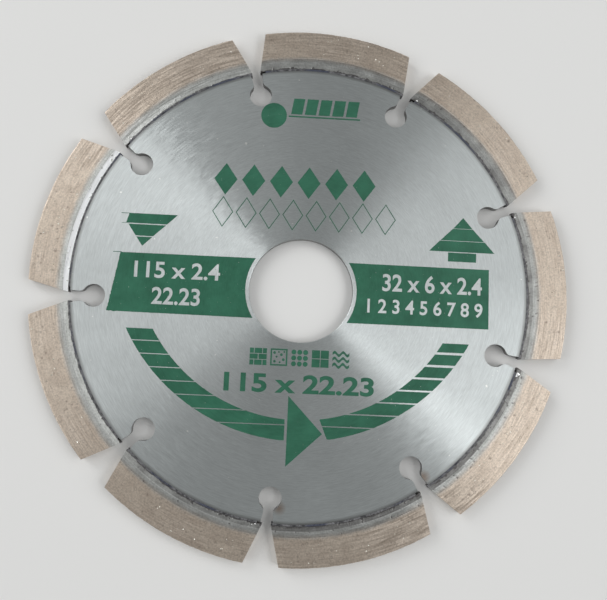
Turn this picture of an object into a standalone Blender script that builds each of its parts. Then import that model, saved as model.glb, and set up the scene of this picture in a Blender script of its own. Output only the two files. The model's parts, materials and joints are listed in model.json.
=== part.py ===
"""Segmented diamond blade for a 115 mm angle grinder.

A steel core, cut to shape with a bore and nine keyhole gullets, carries nine segments
round its rim. Each segment is two layers that are pressed and sintered as one block: an
outer layer full of diamond grit, and a foot with no diamond in it, because diamond
spoils a weld. A laser weld runs along the line where the foot stands on the core.
Nothing moves on the blade: every piece is fused to its neighbour.

The origin is the centre of the bore at half thickness. +Z is the spindle axis, out of
the printed face. +X is the direction in which the print on that face is read.
"""

from math import asin, atan2, cos, pi, radians, sin, sqrt

import bmesh
import bpy

MM = 0.001

# The blade as a whole
BLADE_DIAMETER = 115.0 * MM
BORE_DIAMETER = 22.23 * MM
SEGMENT_COUNT = 9
PITCH_ANGLE = 2 * pi / SEGMENT_COUNT
FIRST_SEGMENT_ANGLE = radians(4.1)

# The core
CORE_DIAMETER = 97.5 * MM
CORE_THICKNESS = 1.8 * MM
BORE_CHAMFER = 0.15 * MM
FLANGE_DIAMETER = 42.0 * MM

# One gullet: a slot in from the rim that ends in a round stress-relief hole
GULLET_HOLE_DIAMETER = 4.85 * MM
GULLET_HOLE_CENTRE = 43.85 * MM
GULLET_NECK_WIDTH = 2.1 * MM
GULLET_MOUTH_WIDTH = 2.6 * MM
GULLET_FILLET = 1.2 * MM
WEB_RADIUS = 39.0 * MM

# One segment, which stands 0.3 mm proud of the core on each side
SEGMENT_THICKNESS = 2.4 * MM
SEGMENT_RIM_WIDTH = 32.2 * MM
SEGMENT_FOOT_WIDTH = 31.6 * MM
SEGMENT_EDGE = 0.12 * MM
LAYER_RADIUS = 51.38 * MM
SHOULDER_RADIUS = 50.0 * MM
FOOT_RADIUS = 49.13 * MM
FOOT_THICKNESS = 1.9 * MM
WELD_CROWN = 0.06 * MM
WELD_RELIEF = 0.95 * MM

# The hairline that is left between neighbours, so that no two solids share a face
JOINT_GAP = 0.03 * MM

# How finely the round shapes are divided
BORE_SIDES = 72
SEGMENT_STATIONS = 16
RIM_STEPS = 8
HOLE_STEPS = 16
FILLET_STEPS = 4
SMOOTH_UNDER = radians(30)
MERGE_DISTANCE = 0.001 * MM


def clear_scene():
    for old in list(bpy.data.objects):
        bpy.data.objects.remove(old, do_unlink=True)


def metal(name, colour, roughness, metallic):
    """A Principled material of one colour."""
    material = bpy.data.materials.new(name)
    material.use_nodes = True
    shader = material.node_tree.nodes["Principled BSDF"]
    shader.inputs["Base Color"].default_value = (*colour, 1.0)
    shader.inputs["Roughness"].default_value = roughness
    shader.inputs["Metallic"].default_value = metallic
    material.diffuse_color = (*colour, 1.0)
    return material


def finish_mesh(form, name, material):
    """Turns a bmesh into a mesh with its faces pointing out, smooth on round stretches."""
    bmesh.ops.remove_doubles(form, verts=form.verts, dist=MERGE_DISTANCE)
    bmesh.ops.recalc_face_normals(form, faces=form.faces)
    mesh = bpy.data.meshes.new(name)
    form.to_mesh(mesh)
    form.free()
    mesh.materials.append(material)
    mesh.shade_smooth()
    mesh.set_sharp_from_angle(angle=SMOOTH_UNDER)
    return mesh


def place(name, mesh, angle=0.0):
    """An object that shows the mesh, turned about the spindle axis."""
    piece = bpy.data.objects.new(name, mesh)
    piece.rotation_euler.z = angle
    bpy.context.scene.collection.objects.link(piece)
    return piece


# ---------------------------------------------------------------------------
# The core


def polar(radius, angle):
    return (radius * cos(angle), radius * sin(angle))


def half_gullet():
    """One side of a gullet that opens along +X, from the bottom of its hole to its mouth."""
    hole = GULLET_HOLE_DIAMETER / 2
    neck = GULLET_NECK_WIDTH / 2
    mouth = GULLET_MOUTH_WIDTH / 2
    rim = CORE_DIAMETER / 2
    fillet_y = neck + GULLET_FILLET
    fillet_x = GULLET_HOLE_CENTRE + sqrt((hole + GULLET_FILLET) ** 2 - fillet_y**2)
    meets_hole = atan2(fillet_y, fillet_x - GULLET_HOLE_CENTRE)

    points = []
    for step in range(HOLE_STEPS + 1):
        angle = pi + (meets_hole - pi) * step / HOLE_STEPS
        points.append((GULLET_HOLE_CENTRE + hole * cos(angle), hole * sin(angle)))
    for step in range(1, FILLET_STEPS + 1):
        angle = meets_hole + pi + (pi / 2 - meets_hole) * step / FILLET_STEPS
        points.append(
            (fillet_x + GULLET_FILLET * cos(angle), fillet_y + GULLET_FILLET * sin(angle))
        )
    points.append((sqrt(rim**2 - mouth**2), mouth))
    return points


def core_sector():
    """The outline of the core's outer web on one side of a gullet, out to the middle of a
    segment, as points in the plane."""
    rim = CORE_DIAMETER / 2
    side = half_gullet()
    mouth_angle = asin(GULLET_MOUTH_WIDTH / 2 / rim)
    middle = PITCH_ANGLE / 2
    rim_arc = [
        polar(rim, mouth_angle + (middle - mouth_angle) * step / RIM_STEPS)
        for step in range(1, RIM_STEPS + 1)
    ]
    steps = BORE_SIDES // SEGMENT_COUNT // 2
    web_arc = [polar(WEB_RADIUS, middle * (1 - step / steps)) for step in range(steps + 1)]
    return side + rim_arc + web_arc


def turned(point, angle):
    x, y = point
    return (x * cos(angle) - y * sin(angle), x * sin(angle) + y * cos(angle), 0.0)


def core_mesh(material):
    """The flat core: rings of quads out to the web, then a face each side of each gullet,
    thickened, with the bore's two edges chamfered."""
    form = bmesh.new()
    first_gullet = FIRST_SEGMENT_ANGLE + PITCH_ANGLE / 2
    rings = []
    for radius in (BORE_DIAMETER / 2, FLANGE_DIAMETER / 2, WEB_RADIUS):
        ring = []
        for side in range(BORE_SIDES):
            angle = first_gullet + 2 * pi * side / BORE_SIDES
            ring.append(form.verts.new(turned((radius, 0.0), angle)))
        rings.append(ring)
    for inner, outer in zip(rings, rings[1:]):
        for here in range(BORE_SIDES):
            after = (here + 1) % BORE_SIDES
            form.faces.new((inner[here], outer[here], outer[after], inner[after]))

    outline = core_sector()
    for gullet in range(SEGMENT_COUNT):
        angle = first_gullet + PITCH_ANGLE * gullet
        for mirror in (1, -1):
            corners = [turned((x, y * mirror), angle) for x, y in outline]
            form.faces.new([form.verts.new(corner) for corner in corners])
    bmesh.ops.remove_doubles(form, verts=form.verts, dist=MERGE_DISTANCE)
    bmesh.ops.recalc_face_normals(form, faces=form.faces)

    raised = bmesh.ops.extrude_face_region(form, geom=list(form.faces))["geom"]
    top = [item for item in raised if isinstance(item, bmesh.types.BMVert)]
    bottom = list(set(form.verts) - set(top))
    bmesh.ops.translate(form, verts=top, vec=(0, 0, CORE_THICKNESS / 2))
    bmesh.ops.translate(form, verts=bottom, vec=(0, 0, -CORE_THICKNESS / 2))

    bore_edges = [
        edge
        for edge in form.edges
        if edge.verts[0].co.z == edge.verts[1].co.z
        and all(abs(v.co.xy.length - BORE_DIAMETER / 2) < MERGE_DISTANCE for v in edge.verts)
    ]
    bmesh.ops.bevel(
        form, geom=bore_edges, offset=BORE_CHAMFER, segments=1, affect="EDGES"
    )
    return finish_mesh(form, "core_disc", material)


# ---------------------------------------------------------------------------
# The pieces of one segment, drawn on a segment whose middle lies on +X


def half_width(radius):
    """Half the segment's width where its straight end crosses a circle. The width grows
    evenly from the foot to the rim."""
    foot_y = SEGMENT_FOOT_WIDTH / 2
    rim_y = SEGMENT_RIM_WIDTH / 2
    foot_x = sqrt(FOOT_RADIUS**2 - foot_y**2)
    rim_x = sqrt((BLADE_DIAMETER / 2) ** 2 - rim_y**2)
    slope = (rim_y - foot_y) / (rim_x - foot_x)
    offset = foot_y - slope * foot_x
    x = (sqrt(radius**2 * (1 + slope**2) - offset**2) - slope * offset) / (1 + slope**2)
    return offset + slope * x


def symmetric(profile):
    """A closed section from the points of its upper half."""
    return profile + [(radius, -height) for radius, height in reversed(profile)]


def station(section, share):
    """The section's points where they cross the segment, at a share of its half width."""
    row = []
    for radius, height in section:
        y = share * half_width(radius)
        row.append((sqrt(radius**2 - y**2), y, height))
    return row


def band_mesh(name, rows, material):
    """A closed solid through rows of points, with a flat face at each end."""
    form = bmesh.new()
    rings = [[form.verts.new(point) for point in row] for row in rows]
    for ring, following in zip(rings, rings[1:]):
        for here in range(len(ring)):
            after = (here + 1) % len(ring)
            form.faces.new((ring[here], ring[after], following[after], following[here]))
    form.faces.new(rings[0])
    form.faces.new(rings[-1])
    return finish_mesh(form, name, material)


def shares_between(first, last):
    return [
        first + (last - first) * step / SEGMENT_STATIONS
        for step in range(SEGMENT_STATIONS + 1)
    ]


def diamond_layer_mesh(material):
    """The working layer, with its four long edges broken."""
    rim = BLADE_DIAMETER / 2
    half = SEGMENT_THICKNESS / 2
    section = symmetric([(LAYER_RADIUS, half), (rim - SEGMENT_EDGE, half), (rim, half - SEGMENT_EDGE)])
    rows = [station(section, share) for share in shares_between(-1, 1)]
    return band_mesh("diamond_segment", rows, material)


def foot_mesh(material):
    """The diamond-free foot. It thins towards the core, and its corner at the end where
    the weld starts is cut back to the shoulder."""
    half = SEGMENT_THICKNESS / 2
    outer = LAYER_RADIUS - JOINT_GAP
    full = symmetric([(FOOT_RADIUS, FOOT_THICKNESS / 2), (SHOULDER_RADIUS, half), (outer, half)])
    cut_back = symmetric([(SHOULDER_RADIUS, half), (SHOULDER_RADIUS, half), (outer, half)])
    relief = 1 - WELD_RELIEF / half_width(FOOT_RADIUS)
    rows = [station(full, share) for share in shares_between(-1, relief)]
    rows += [station(cut_back, relief), station(cut_back, 1)]
    return band_mesh("segment_foot", rows, material)


def weld_mesh(material):
    """The fused bead, through the whole thickness and a little proud on both faces."""
    inner = CORE_DIAMETER / 2 + JOINT_GAP
    outer = FOOT_RADIUS - JOINT_GAP
    core_side = (inner, CORE_THICKNESS / 2)
    crown = ((inner + outer) / 2, FOOT_THICKNESS / 2 + WELD_CROWN)
    foot_side = (outer, FOOT_THICKNESS / 2)
    section = symmetric([core_side, crown, foot_side])
    relief = 1 - WELD_RELIEF / half_width(FOOT_RADIUS)
    rows = [station(section, share) for share in shares_between(-1, relief)]
    return band_mesh("weld_seam", rows, material)


# ---------------------------------------------------------------------------
# The assembly

clear_scene()

core_steel = metal("core_steel", (0.46, 0.48, 0.48), 0.34, 1.0)
diamond_bond = metal("diamond_bond", (0.42, 0.36, 0.30), 0.55, 0.6)
foot_metal = metal("foot_metal", (0.40, 0.41, 0.41), 0.42, 0.9)
weld_metal = metal("weld_metal", (0.10, 0.10, 0.12), 0.50, 0.9)

place("core_disc", core_mesh(core_steel))

segment_parts = {
    "diamond_segment": diamond_layer_mesh(diamond_bond),
    "segment_foot": foot_mesh(foot_metal),
    "weld_seam": weld_mesh(weld_metal),
}
for number in range(1, SEGMENT_COUNT + 1):
    turn = FIRST_SEGMENT_ANGLE + PITCH_ANGLE * (number - 1)
    for part_name, part_mesh in segment_parts.items():
        place(f"{part_name}_{number}", part_mesh, turn)
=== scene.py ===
# %% [markdown]
# # A segmented diamond blade
# This blade is a saw for stone. A thin steel disc, the core, is clamped on a grinder's
# spindle. Nine blocks of sintered metal full of diamond grit are welded to its rim.
# The solids of the core and of the segments are loaded first and never change. All that
# follows adds what makes metal look like metal: grinding marks, a weld, pits, grit and ink.

# %% Load the solids of the blade
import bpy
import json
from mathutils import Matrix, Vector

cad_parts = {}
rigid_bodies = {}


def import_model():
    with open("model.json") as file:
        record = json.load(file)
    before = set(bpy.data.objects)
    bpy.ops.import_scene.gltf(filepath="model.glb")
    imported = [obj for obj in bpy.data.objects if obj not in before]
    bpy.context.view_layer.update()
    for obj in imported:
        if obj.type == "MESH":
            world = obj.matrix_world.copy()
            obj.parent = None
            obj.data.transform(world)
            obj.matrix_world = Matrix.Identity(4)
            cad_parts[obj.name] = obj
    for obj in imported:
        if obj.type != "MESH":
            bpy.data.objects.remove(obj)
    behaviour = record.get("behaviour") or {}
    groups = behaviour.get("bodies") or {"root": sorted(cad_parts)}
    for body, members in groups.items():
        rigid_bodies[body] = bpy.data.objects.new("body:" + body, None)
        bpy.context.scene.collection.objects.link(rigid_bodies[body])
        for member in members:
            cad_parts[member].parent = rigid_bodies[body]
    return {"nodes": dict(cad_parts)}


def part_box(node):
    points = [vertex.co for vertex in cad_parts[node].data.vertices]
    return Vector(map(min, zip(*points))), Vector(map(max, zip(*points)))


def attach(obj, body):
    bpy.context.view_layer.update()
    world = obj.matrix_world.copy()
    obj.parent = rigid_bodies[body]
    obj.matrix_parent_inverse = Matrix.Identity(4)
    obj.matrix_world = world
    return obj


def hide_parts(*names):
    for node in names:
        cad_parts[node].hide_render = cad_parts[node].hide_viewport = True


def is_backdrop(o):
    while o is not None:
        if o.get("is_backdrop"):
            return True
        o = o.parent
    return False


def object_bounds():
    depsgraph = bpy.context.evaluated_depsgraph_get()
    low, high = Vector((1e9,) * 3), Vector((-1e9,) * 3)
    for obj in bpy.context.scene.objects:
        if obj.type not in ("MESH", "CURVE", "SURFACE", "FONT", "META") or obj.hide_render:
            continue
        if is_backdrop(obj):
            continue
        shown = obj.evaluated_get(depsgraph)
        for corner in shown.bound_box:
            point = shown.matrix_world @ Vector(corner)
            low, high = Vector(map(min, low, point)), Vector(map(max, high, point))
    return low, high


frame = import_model()
cad_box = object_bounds()
print("blade box in mm:", [[round(1000 * x, 2) for x in corner] for corner in cad_box])

# %% [markdown]
# ## Tools and units
# Blender counts in metres, but a blade is thought of in millimetres, so one name, MM, turns
# one into the other. The other tools come with Blender and Python: noise for uneven metal,
# geometry for filling flat outlines, and bmesh for building meshes by hand.

# %% The tools of this lesson
import json
import math
import random
from collections import Counter

import bmesh
import bpy
from mathutils import Matrix, Vector, geometry, noise

MM = 0.001


def in_mm(length):
    return round(length / MM, 2)


print("one metre in mm:", in_mm(1.0))

# %% [markdown]
# ## Reading sizes off the blade
# Everything drawn later sits on the blade, so its places come from the solids: how far a
# piece reaches from the spindle axis, how high it stands, and which way a segment points.
# Numbers typed by hand would work too, but they would go wrong when a solid changes.

# %% Measure a solid from the spindle axis
def points_of(solid):
    return [vertex.co for vertex in frame["nodes"][solid].data.vertices]


def reach(solid):
    """Least and greatest distance of a solid's points from the spindle axis."""
    distances = [point.xy.length for point in points_of(solid)]
    return min(distances), max(distances)


def facing(solid):
    """The angle at which the middle of a solid lies round the spindle axis."""
    corners = points_of(solid)
    middle = sum(corners, Vector()) / len(corners)
    return math.atan2(middle.y, middle.x)


def half_width_at(solid, radius, near=0.2 * MM):
    """Half the width of a segment's solid, near a given distance from the axis."""
    across = Matrix.Rotation(-facing(solid), 3, "Z")
    turned = [across @ point for point in points_of(solid)]
    return max(abs(point.y) for point in turned if abs(point.xy.length - radius) < near)


SEGMENT_COUNT = sum(name.startswith("diamond_segment_") for name in frame["nodes"])
BORE_RADIUS, CORE_RADIUS = reach("core_disc")
FOOT_RADIUS = reach("segment_foot_1")[0]
LAYER_RADIUS, RIM_RADIUS = reach("diamond_segment_1")
CORE_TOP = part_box("core_disc")[1].z
SEGMENT_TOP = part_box("diamond_segment_1")[1].z
print("segments:", SEGMENT_COUNT)
print("radius of the bore, core and rim, mm:", in_mm(BORE_RADIUS), in_mm(CORE_RADIUS), in_mm(RIM_RADIUS))
print("height of the core and segments, mm:", in_mm(CORE_TOP), in_mm(SEGMENT_TOP))

# %% [markdown]
# ## The camera
# The blade lies flat and is seen from almost straight above, a little from the near side,
# from about one and a half blade widths away. That short distance gives the slight
# perspective of a hand-held close-up. The camera turns a little about its own line of
# sight, so the print runs slightly downhill.

# %% Place the camera
CAMERA_PLACE = Vector((-4.8, -17.84, 153.04)) * MM
CAMERA_TILT = math.radians(-5.84)
CAMERA_PAN = math.radians(2.29)
CAMERA_ROLL = math.radians(2.5)
LENS = 42.55
SENSOR_WIDTH = 36
NEAREST_SEEN = 5 * MM

camera = bpy.data.objects.new("camera", bpy.data.cameras.new("camera"))
bpy.context.scene.collection.objects.link(camera)
aim = Matrix.Rotation(CAMERA_TILT, 3, "X") @ Matrix.Rotation(CAMERA_PAN, 3, "Y")
aim = Matrix.Rotation(CAMERA_ROLL, 3, "Z") @ aim.transposed()
camera.matrix_world = Matrix.Translation(CAMERA_PLACE) @ aim.to_4x4()
camera.data.lens = LENS
camera.data.sensor_width = SENSOR_WIDTH
camera.data.clip_start = NEAREST_SEEN
bpy.context.scene.camera = camera
print("camera looks along", [round(x, 3) for x in aim @ Vector((0, 0, -1))])

# %% [markdown]
# ## The floor
# The blade lies on a plain pale floor, which shows through the bore and the gullets. One
# big flat sheet is enough. It lies a hair below the blade, so the two never share a plane.

# %% Lay a pale floor under the blade
FLOOR_SIZE = 4.0
FLOOR_DROP = 0.02 * MM
FLOOR_COLOUR = (0.72, 0.72, 0.71, 1)
FLOOR_ROUGHNESS = 0.8

half = FLOOR_SIZE / 2
floor_height = cad_box[0].z - FLOOR_DROP
floor_corners = [(x, y, floor_height)
                 for x, y in ((-half, -half), (half, -half), (half, half), (-half, half))]
floor_mesh = bpy.data.meshes.new("floor")
floor_mesh.from_pydata(floor_corners, [], [(0, 1, 2, 3)])
pale_floor = bpy.data.materials.new("pale_floor")
pale_floor.use_nodes = True
shader = pale_floor.node_tree.nodes["Principled BSDF"]
shader.inputs["Base Color"].default_value = FLOOR_COLOUR
shader.inputs["Roughness"].default_value = FLOOR_ROUGHNESS
floor_mesh.materials.append(pale_floor)
floor = bpy.data.objects.new("floor", floor_mesh)
bpy.context.scene.collection.objects.link(floor)
floor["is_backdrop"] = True
print("floor height, mm:", in_mm(floor_height))

# %% [markdown]
# ## Soft lamps
# Ground steel shows the light more than it shows itself. Marks that run in circles turn
# one lamp into two bright fans, on the side of the lamp and on the opposite side, so the
# strong lamps stand low at the left and the right and the room above stays dim.

# %% Hang the soft lamps
LAMP_DISTANCE = 0.9
ROOM_COLOUR = (0.97, 0.98, 0.98, 1)
ROOM_STRENGTH = 0.36


def softbox(name, azimuth, elevation, width, height, power):
    """A rectangular lamp that looks at the blade from a compass angle and a height angle."""
    lamp = bpy.data.lights.new(name, "AREA")
    lamp.shape = "RECTANGLE"
    lamp.size, lamp.size_y = width, height
    lamp.energy = power
    holder = bpy.data.objects.new(name, lamp)
    turn, rise = math.radians(azimuth), math.radians(elevation)
    place = Vector((math.cos(turn) * math.cos(rise), math.sin(turn) * math.cos(rise), math.sin(rise)))
    holder.location = place * LAMP_DISTANCE
    holder.rotation_euler = (-place).to_track_quat("-Z", "Y").to_euler()
    bpy.context.scene.collection.objects.link(holder)


softbox("window", -8, 30, 0.42, 0.4, 1.2)
softbox("window_top", -20, 51, 0.4, 0.2, 0.75)
softbox("window_edge", -30, 44, 0.03, 0.4, 0.66)
softbox("far_wall", 114, 42, 0.5, 0.4, 0.26)
softbox("right_wall", 28, 48, 0.6, 0.5, 1.4)
softbox("left_window", 144, 28, 0.44, 0.5, 2.5)
softbox("left_wall", -173, 36, 0.7, 0.6, 2.3)
world = bpy.data.worlds.new("soft_room")
world.use_nodes = True
room = world.node_tree.nodes["Background"]
room.inputs["Color"].default_value = ROOM_COLOUR
room.inputs["Strength"].default_value = ROOM_STRENGTH
bpy.context.scene.world = world
bpy.context.scene.view_settings.view_transform = "Standard"
print("watts of all lamps:", round(sum(lamp.energy for lamp in bpy.data.lights), 2))

# %% [markdown]
# ## A short way to write materials
# A material is a graph of nodes. Written out in full, each node takes three or four lines,
# so a small class adds a node, feeds its inputs and joins it up in one call. An input can
# be a number, a colour, or the output of an earlier node.

# %% The material writer
class Finish:
    """One material and short calls that add nodes to it."""

    def __init__(self, name, metallic=1.0, roughness=0.4, anisotropic=0.0, specular=0.5):
        self.material = bpy.data.materials.new(name)
        self.material.use_nodes = True
        self.tree = self.material.node_tree
        self.shader = self.tree.nodes["Principled BSDF"]
        self.shader.inputs["Metallic"].default_value = metallic
        self.shader.inputs["Roughness"].default_value = roughness
        self.shader.inputs["Anisotropic"].default_value = anisotropic
        self.shader.inputs["Specular IOR Level"].default_value = specular
        self.place = self.add("ShaderNodeTexCoord").outputs["Object"]

    def add(self, kind, feeds=None, **settings):
        made = self.tree.nodes.new(kind)
        for key, value in settings.items():
            setattr(made, key, value)
        for socket, value in (feeds or {}).items():
            self.feed(made.inputs[socket], value)
        return made

    def feed(self, socket, value):
        if isinstance(value, bpy.types.NodeSocket):
            self.tree.links.new(value, socket)
        else:
            socket.default_value = value

    def math(self, operation, first, second=0.0):
        return self.add("ShaderNodeMath", {0: first, 1: second}, operation=operation).outputs[0]

    def vector(self, operation, first, second=None):
        feeds = {0: first} if second is None else {0: first, 1: second}
        return self.add("ShaderNodeVectorMath", feeds, operation=operation)

    def noise(self, where, scale=1.0, detail=2.0, roughness=0.5):
        feeds = {"Vector": where, "Scale": scale, "Detail": detail, "Roughness": roughness}
        return self.add("ShaderNodeTexNoise", feeds).outputs["Fac"]

    def spread(self, value, low, high, new_low=0.0, new_high=1.0):
        """Maps the range low to high onto another, and stops at its ends."""
        feeds = {"Value": value, "From Min": low, "From Max": high,
                 "To Min": new_low, "To Max": new_high}
        return self.add("ShaderNodeMapRange", feeds).outputs["Result"]

    def mix(self, share, first, second):
        made = self.add("ShaderNodeMix", data_type="RGBA")
        for socket, value in zip((made.inputs[0], made.inputs[6], made.inputs[7]),
                                 (share, first, second)):
            self.feed(socket, value)
        return made.outputs[2]

    def scaled(self, what, factor):
        return self.add("ShaderNodeVectorMath", {0: what, "Scale": factor}, operation="SCALE").outputs[0]

    def attribute(self, name):
        return self.add("ShaderNodeAttribute", attribute_name=name).outputs["Fac"]

    def from_axis(self):
        """The place seen from the spindle axis, as a flat vector and as a distance."""
        flat = self.vector("MULTIPLY", self.place, (1, 1, 0)).outputs[0]
        return flat, self.vector("LENGTH", flat).outputs["Value"]

    def lathe_grain(self, streak_share, line_width, offset=0.0):
        """Coordinates for marks that run in circles round the spindle: slow along the
        circle, quick across it. They join up all the way round, with no seam."""
        flat, radius = self.from_axis()
        around = self.scaled(self.vector("NORMALIZE", flat).outputs[0], streak_share)
        rings = self.add("ShaderNodeMath", {0: radius, 1: 1 / line_width, 2: offset},
                         operation="MULTIPLY_ADD").outputs[0]
        upward = self.add("ShaderNodeCombineXYZ", {"Z": rings}).outputs[0]
        return self.vector("ADD", around, upward).outputs[0]

    def marks_round_spindle(self, wander, grain):
        """A highlight stretches along the shader's tangent. Marks that run in circles stretch
        it towards and away from the spindle, so the tangent points away from the axis. Each
        mark wanders a little from its circle, by an angle that its grain picks."""
        flat, _ = self.from_axis()
        angle = self.spread(grain, 0.25, 0.75, -wander, wander)
        turned = self.add("ShaderNodeVectorRotate", {"Vector": flat, "Angle": angle},
                          rotation_type="Z_AXIS").outputs[0]
        self.feed(self.shader.inputs["Tangent"], self.vector("NORMALIZE", turned).outputs[0])

    def bump(self, height, strength, distance, below=None):
        feeds = {"Height": height, "Strength": strength, "Distance": distance}
        if below is not None:
            feeds["Normal"] = below
        return self.add("ShaderNodeBump", feeds).outputs["Normal"]

    def wear(self, **outputs):
        """Joins outputs to the shader's sockets: colour, roughness, metallic, normal."""
        sockets = {"colour": "Base Color", "roughness": "Roughness",
                   "metallic": "Metallic", "normal": "Normal"}
        for name, value in outputs.items():
            self.feed(self.shader.inputs[sockets[name]], value)
        return self.material


print("short calls of the material writer:", ", ".join(name for name in vars(Finish) if name[0] != "_"))

# %% [markdown]
# ## The core's ground steel
# The core is ground on a turning table, so its marks are arcs round the bore. Three sizes
# of mark lie over each other: a fine grain, bunches of streaks, and slow clouds where the
# wheel pressed harder. Anisotropy stretches the highlight across the marks, which is what
# makes the bright fans. The heat of the weld has left the rim dark. The walls that the laser
# cut are painted dark as well: painted shade inside the holes, which also stands for the
# oxide of the cut. Rust has begun at two gullets, and a few pale specks of dust lie about.

# %% Stain the core and paint shade on its cut walls
STEEL = (0.59, 0.625, 0.625, 1)
HEAT_TINT_AND_WALL_SHADE = (0.12, 0.115, 0.11, 1)
RUST = (0.30, 0.17, 0.09, 1)
DUST = (0.93, 0.93, 0.90, 1)
RUST_SPOTS = [(27.2 * MM, -38.3 * MM, CORE_TOP), (-2.6 * MM, -45.6 * MM, CORE_TOP)]
RUST_INNER, RUST_OUTER = 1.6 * MM, 2.9 * MM
HEAT_START, HEAT_END = CORE_RADIUS - 0.45 * MM, CORE_RADIUS + 0.3 * MM


def rust_share(steel, clouds):
    """Share of rust, in an uneven patch round each spot."""
    rust = 0.0
    for spot in RUST_SPOTS:
        distance = steel.vector("DISTANCE", steel.place, spot).outputs["Value"]
        uneven = steel.math("ADD", distance, steel.math("MULTIPLY", clouds, 2.5 * MM))
        rust = steel.math("MAXIMUM", rust, steel.spread(uneven, RUST_OUTER, RUST_INNER, 0, 0.6))
    return rust


def heat_tint_and_wall_shade(steel, clouds):
    """Share of dark steel: heat tint along the welded rim, and painted shade on the walls that the laser
    cut, which also stands for their oxide.
    """
    _, radius = steel.from_axis()
    ragged_edge = steel.math("ADD", radius, steel.math("MULTIPLY", clouds, 0.5 * MM))
    rim = steel.spread(ragged_edge, HEAT_START, HEAT_END, 0, 0.75)
    normal = steel.add("ShaderNodeNewGeometry").outputs["Normal"]
    upright = steel.add("ShaderNodeSeparateXYZ", {"Vector": normal}).outputs["Z"]
    # Painted shade: walls that face sideways are darkened, as the holes are shaded inside.
    wall_shade = steel.spread(steel.math("ABSOLUTE", upright), 0.6, 0.3)
    return steel.math("MAXIMUM", rim, steel.math("MULTIPLY", wall_shade, 0.9))


print("rust lies", [in_mm(math.hypot(x, y)) for x, y, _ in RUST_SPOTS], "mm from the axis")

# %% Grind the core
def ground_steel():
    steel = Finish("ground_steel", metallic=1.0, roughness=0.38, anisotropic=0.95)
    fine = steel.noise(steel.lathe_grain(30, 0.06 * MM), detail=3)
    bunches = steel.noise(steel.lathe_grain(12, 0.22 * MM, 7.0), detail=3)
    clouds = steel.noise(steel.place, scale=90, detail=2)
    strokes = steel.noise(steel.lathe_grain(14, 0.075 * MM, 3.0), detail=2)
    dust = steel.noise(steel.place, scale=1000, detail=1)
    steel.marks_round_spindle(math.radians(9), strokes)
    tone = steel.math("MULTIPLY", steel.spread(fine, 0.3, 0.7, 0.89, 1.09),
                      steel.spread(bunches, 0.3, 0.7, 0.92, 1.06))
    tone = steel.math("MULTIPLY", tone, steel.spread(clouds, 0.3, 0.7, 0.96, 1.03))
    colour = steel.mix(rust_share(steel, clouds), STEEL, RUST)
    colour = steel.scaled(steel.mix(heat_tint_and_wall_shade(steel, clouds), colour, HEAT_TINT_AND_WALL_SHADE), tone)
    colour = steel.mix(steel.spread(dust, 0.76, 0.80, 0, 0.7), colour, DUST)
    normal = steel.bump(fine, 0.06, 0.01 * MM)
    normal = steel.bump(bunches, 0.05, 0.02 * MM, below=normal)
    return steel.wear(colour=colour, roughness=steel.spread(bunches, 0.3, 0.75, 0.35, 0.42), normal=normal)


core = frame["nodes"]["core_disc"]
core.data.materials.clear()
core.data.materials.append(ground_steel())
print("nodes in the core's material:", len(core.data.materials[0].node_tree.nodes))

# %% [markdown]
# ## The broken edge of the core
# No ground edge is knife sharp: the maker breaks it with a stone, and the tiny slope catches
# the light round the bore and the gullets. A bevel modifier does this without changing the
# solid's own mesh, and it touches only edges that turn by more than 50 degrees.

# %% Break the core's edges
EDGE_WIDTH = 0.06 * MM
EDGE_STEPS = 2
EDGE_ANGLE = math.radians(50)

rounding = core.modifiers.new("broken_edge", "BEVEL")
rounding.width = EDGE_WIDTH
rounding.segments = EDGE_STEPS
rounding.limit_method = "ANGLE"
rounding.angle_limit = EDGE_ANGLE
print("broken edge, mm:", in_mm(EDGE_WIDTH))

# %% [markdown]
# ## Bodies drawn through many cross-sections
# A segment's solid has a few hundred faces, too few for pits and grinding marks. So each
# segment is drawn again over the same outline: a cross-section with many points is carried
# along the rim in short steps, and every point is then pushed in or out by its skin.
# Sculpting would give the same look, but a rule gives nine different segments at once.

# %% Put a mesh in the scene
def seen(name, mesh, sharp=None):
    """Puts a mesh in the scene with its normals outward. Edges under the sharp angle, in
    degrees, shade smoothly."""
    shape = bmesh.new()
    shape.from_mesh(mesh)
    bmesh.ops.recalc_face_normals(shape, faces=shape.faces)
    shape.to_mesh(mesh)
    shape.free()
    if sharp is not None:
        mesh.shade_smooth()
        mesh.set_sharp_from_angle(angle=math.radians(sharp))
    made = bpy.data.objects.new(name, mesh)
    bpy.context.scene.collection.objects.link(made)
    return made


def ray_at(turn):
    """The direction straight out from the spindle, at an angle round it."""
    return Vector((math.cos(turn), math.sin(turn), 0))


def steps(count, low=-1.0, high=1.0):
    return [low + (high - low) * index / (count - 1) for index in range(count)]


def clamped(value, low=0.0, high=1.0):
    return max(low, min(high, value))


print("five steps:", steps(5))

# %% Measure the segments
FOOT_HALF = half_width_at("segment_foot_1", FOOT_RADIUS)
RIM_HALF = half_width_at("diamond_segment_1", RIM_RADIUS)


def segment_half(radius):
    """Half the width of a segment, which grows a little towards the rim."""
    share = (radius - FOOT_RADIUS) / (RIM_RADIUS - FOOT_RADIUS)
    return FOOT_HALF + (RIM_HALF - FOOT_HALF) * share


TURNS = [facing(f"diamond_segment_{number}") for number in range(1, SEGMENT_COUNT + 1)]
print("segments face, degrees:", [round(math.degrees(turn) % 360, 1) for turn in TURNS])
print("segment width at foot and rim, mm:", in_mm(2 * FOOT_HALF), in_mm(2 * RIM_HALF))

# %% Carry a cross-section along the rim
def closed_loop(upper):
    """A closed loop in metres from the upper half of a section in mm, given as points of
    (radius, height) from the inside to the outside."""
    loop = upper + [(radius, -height) for radius, height in reversed(upper)]
    return [(radius * MM, height * MM) for radius, height in loop]


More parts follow.
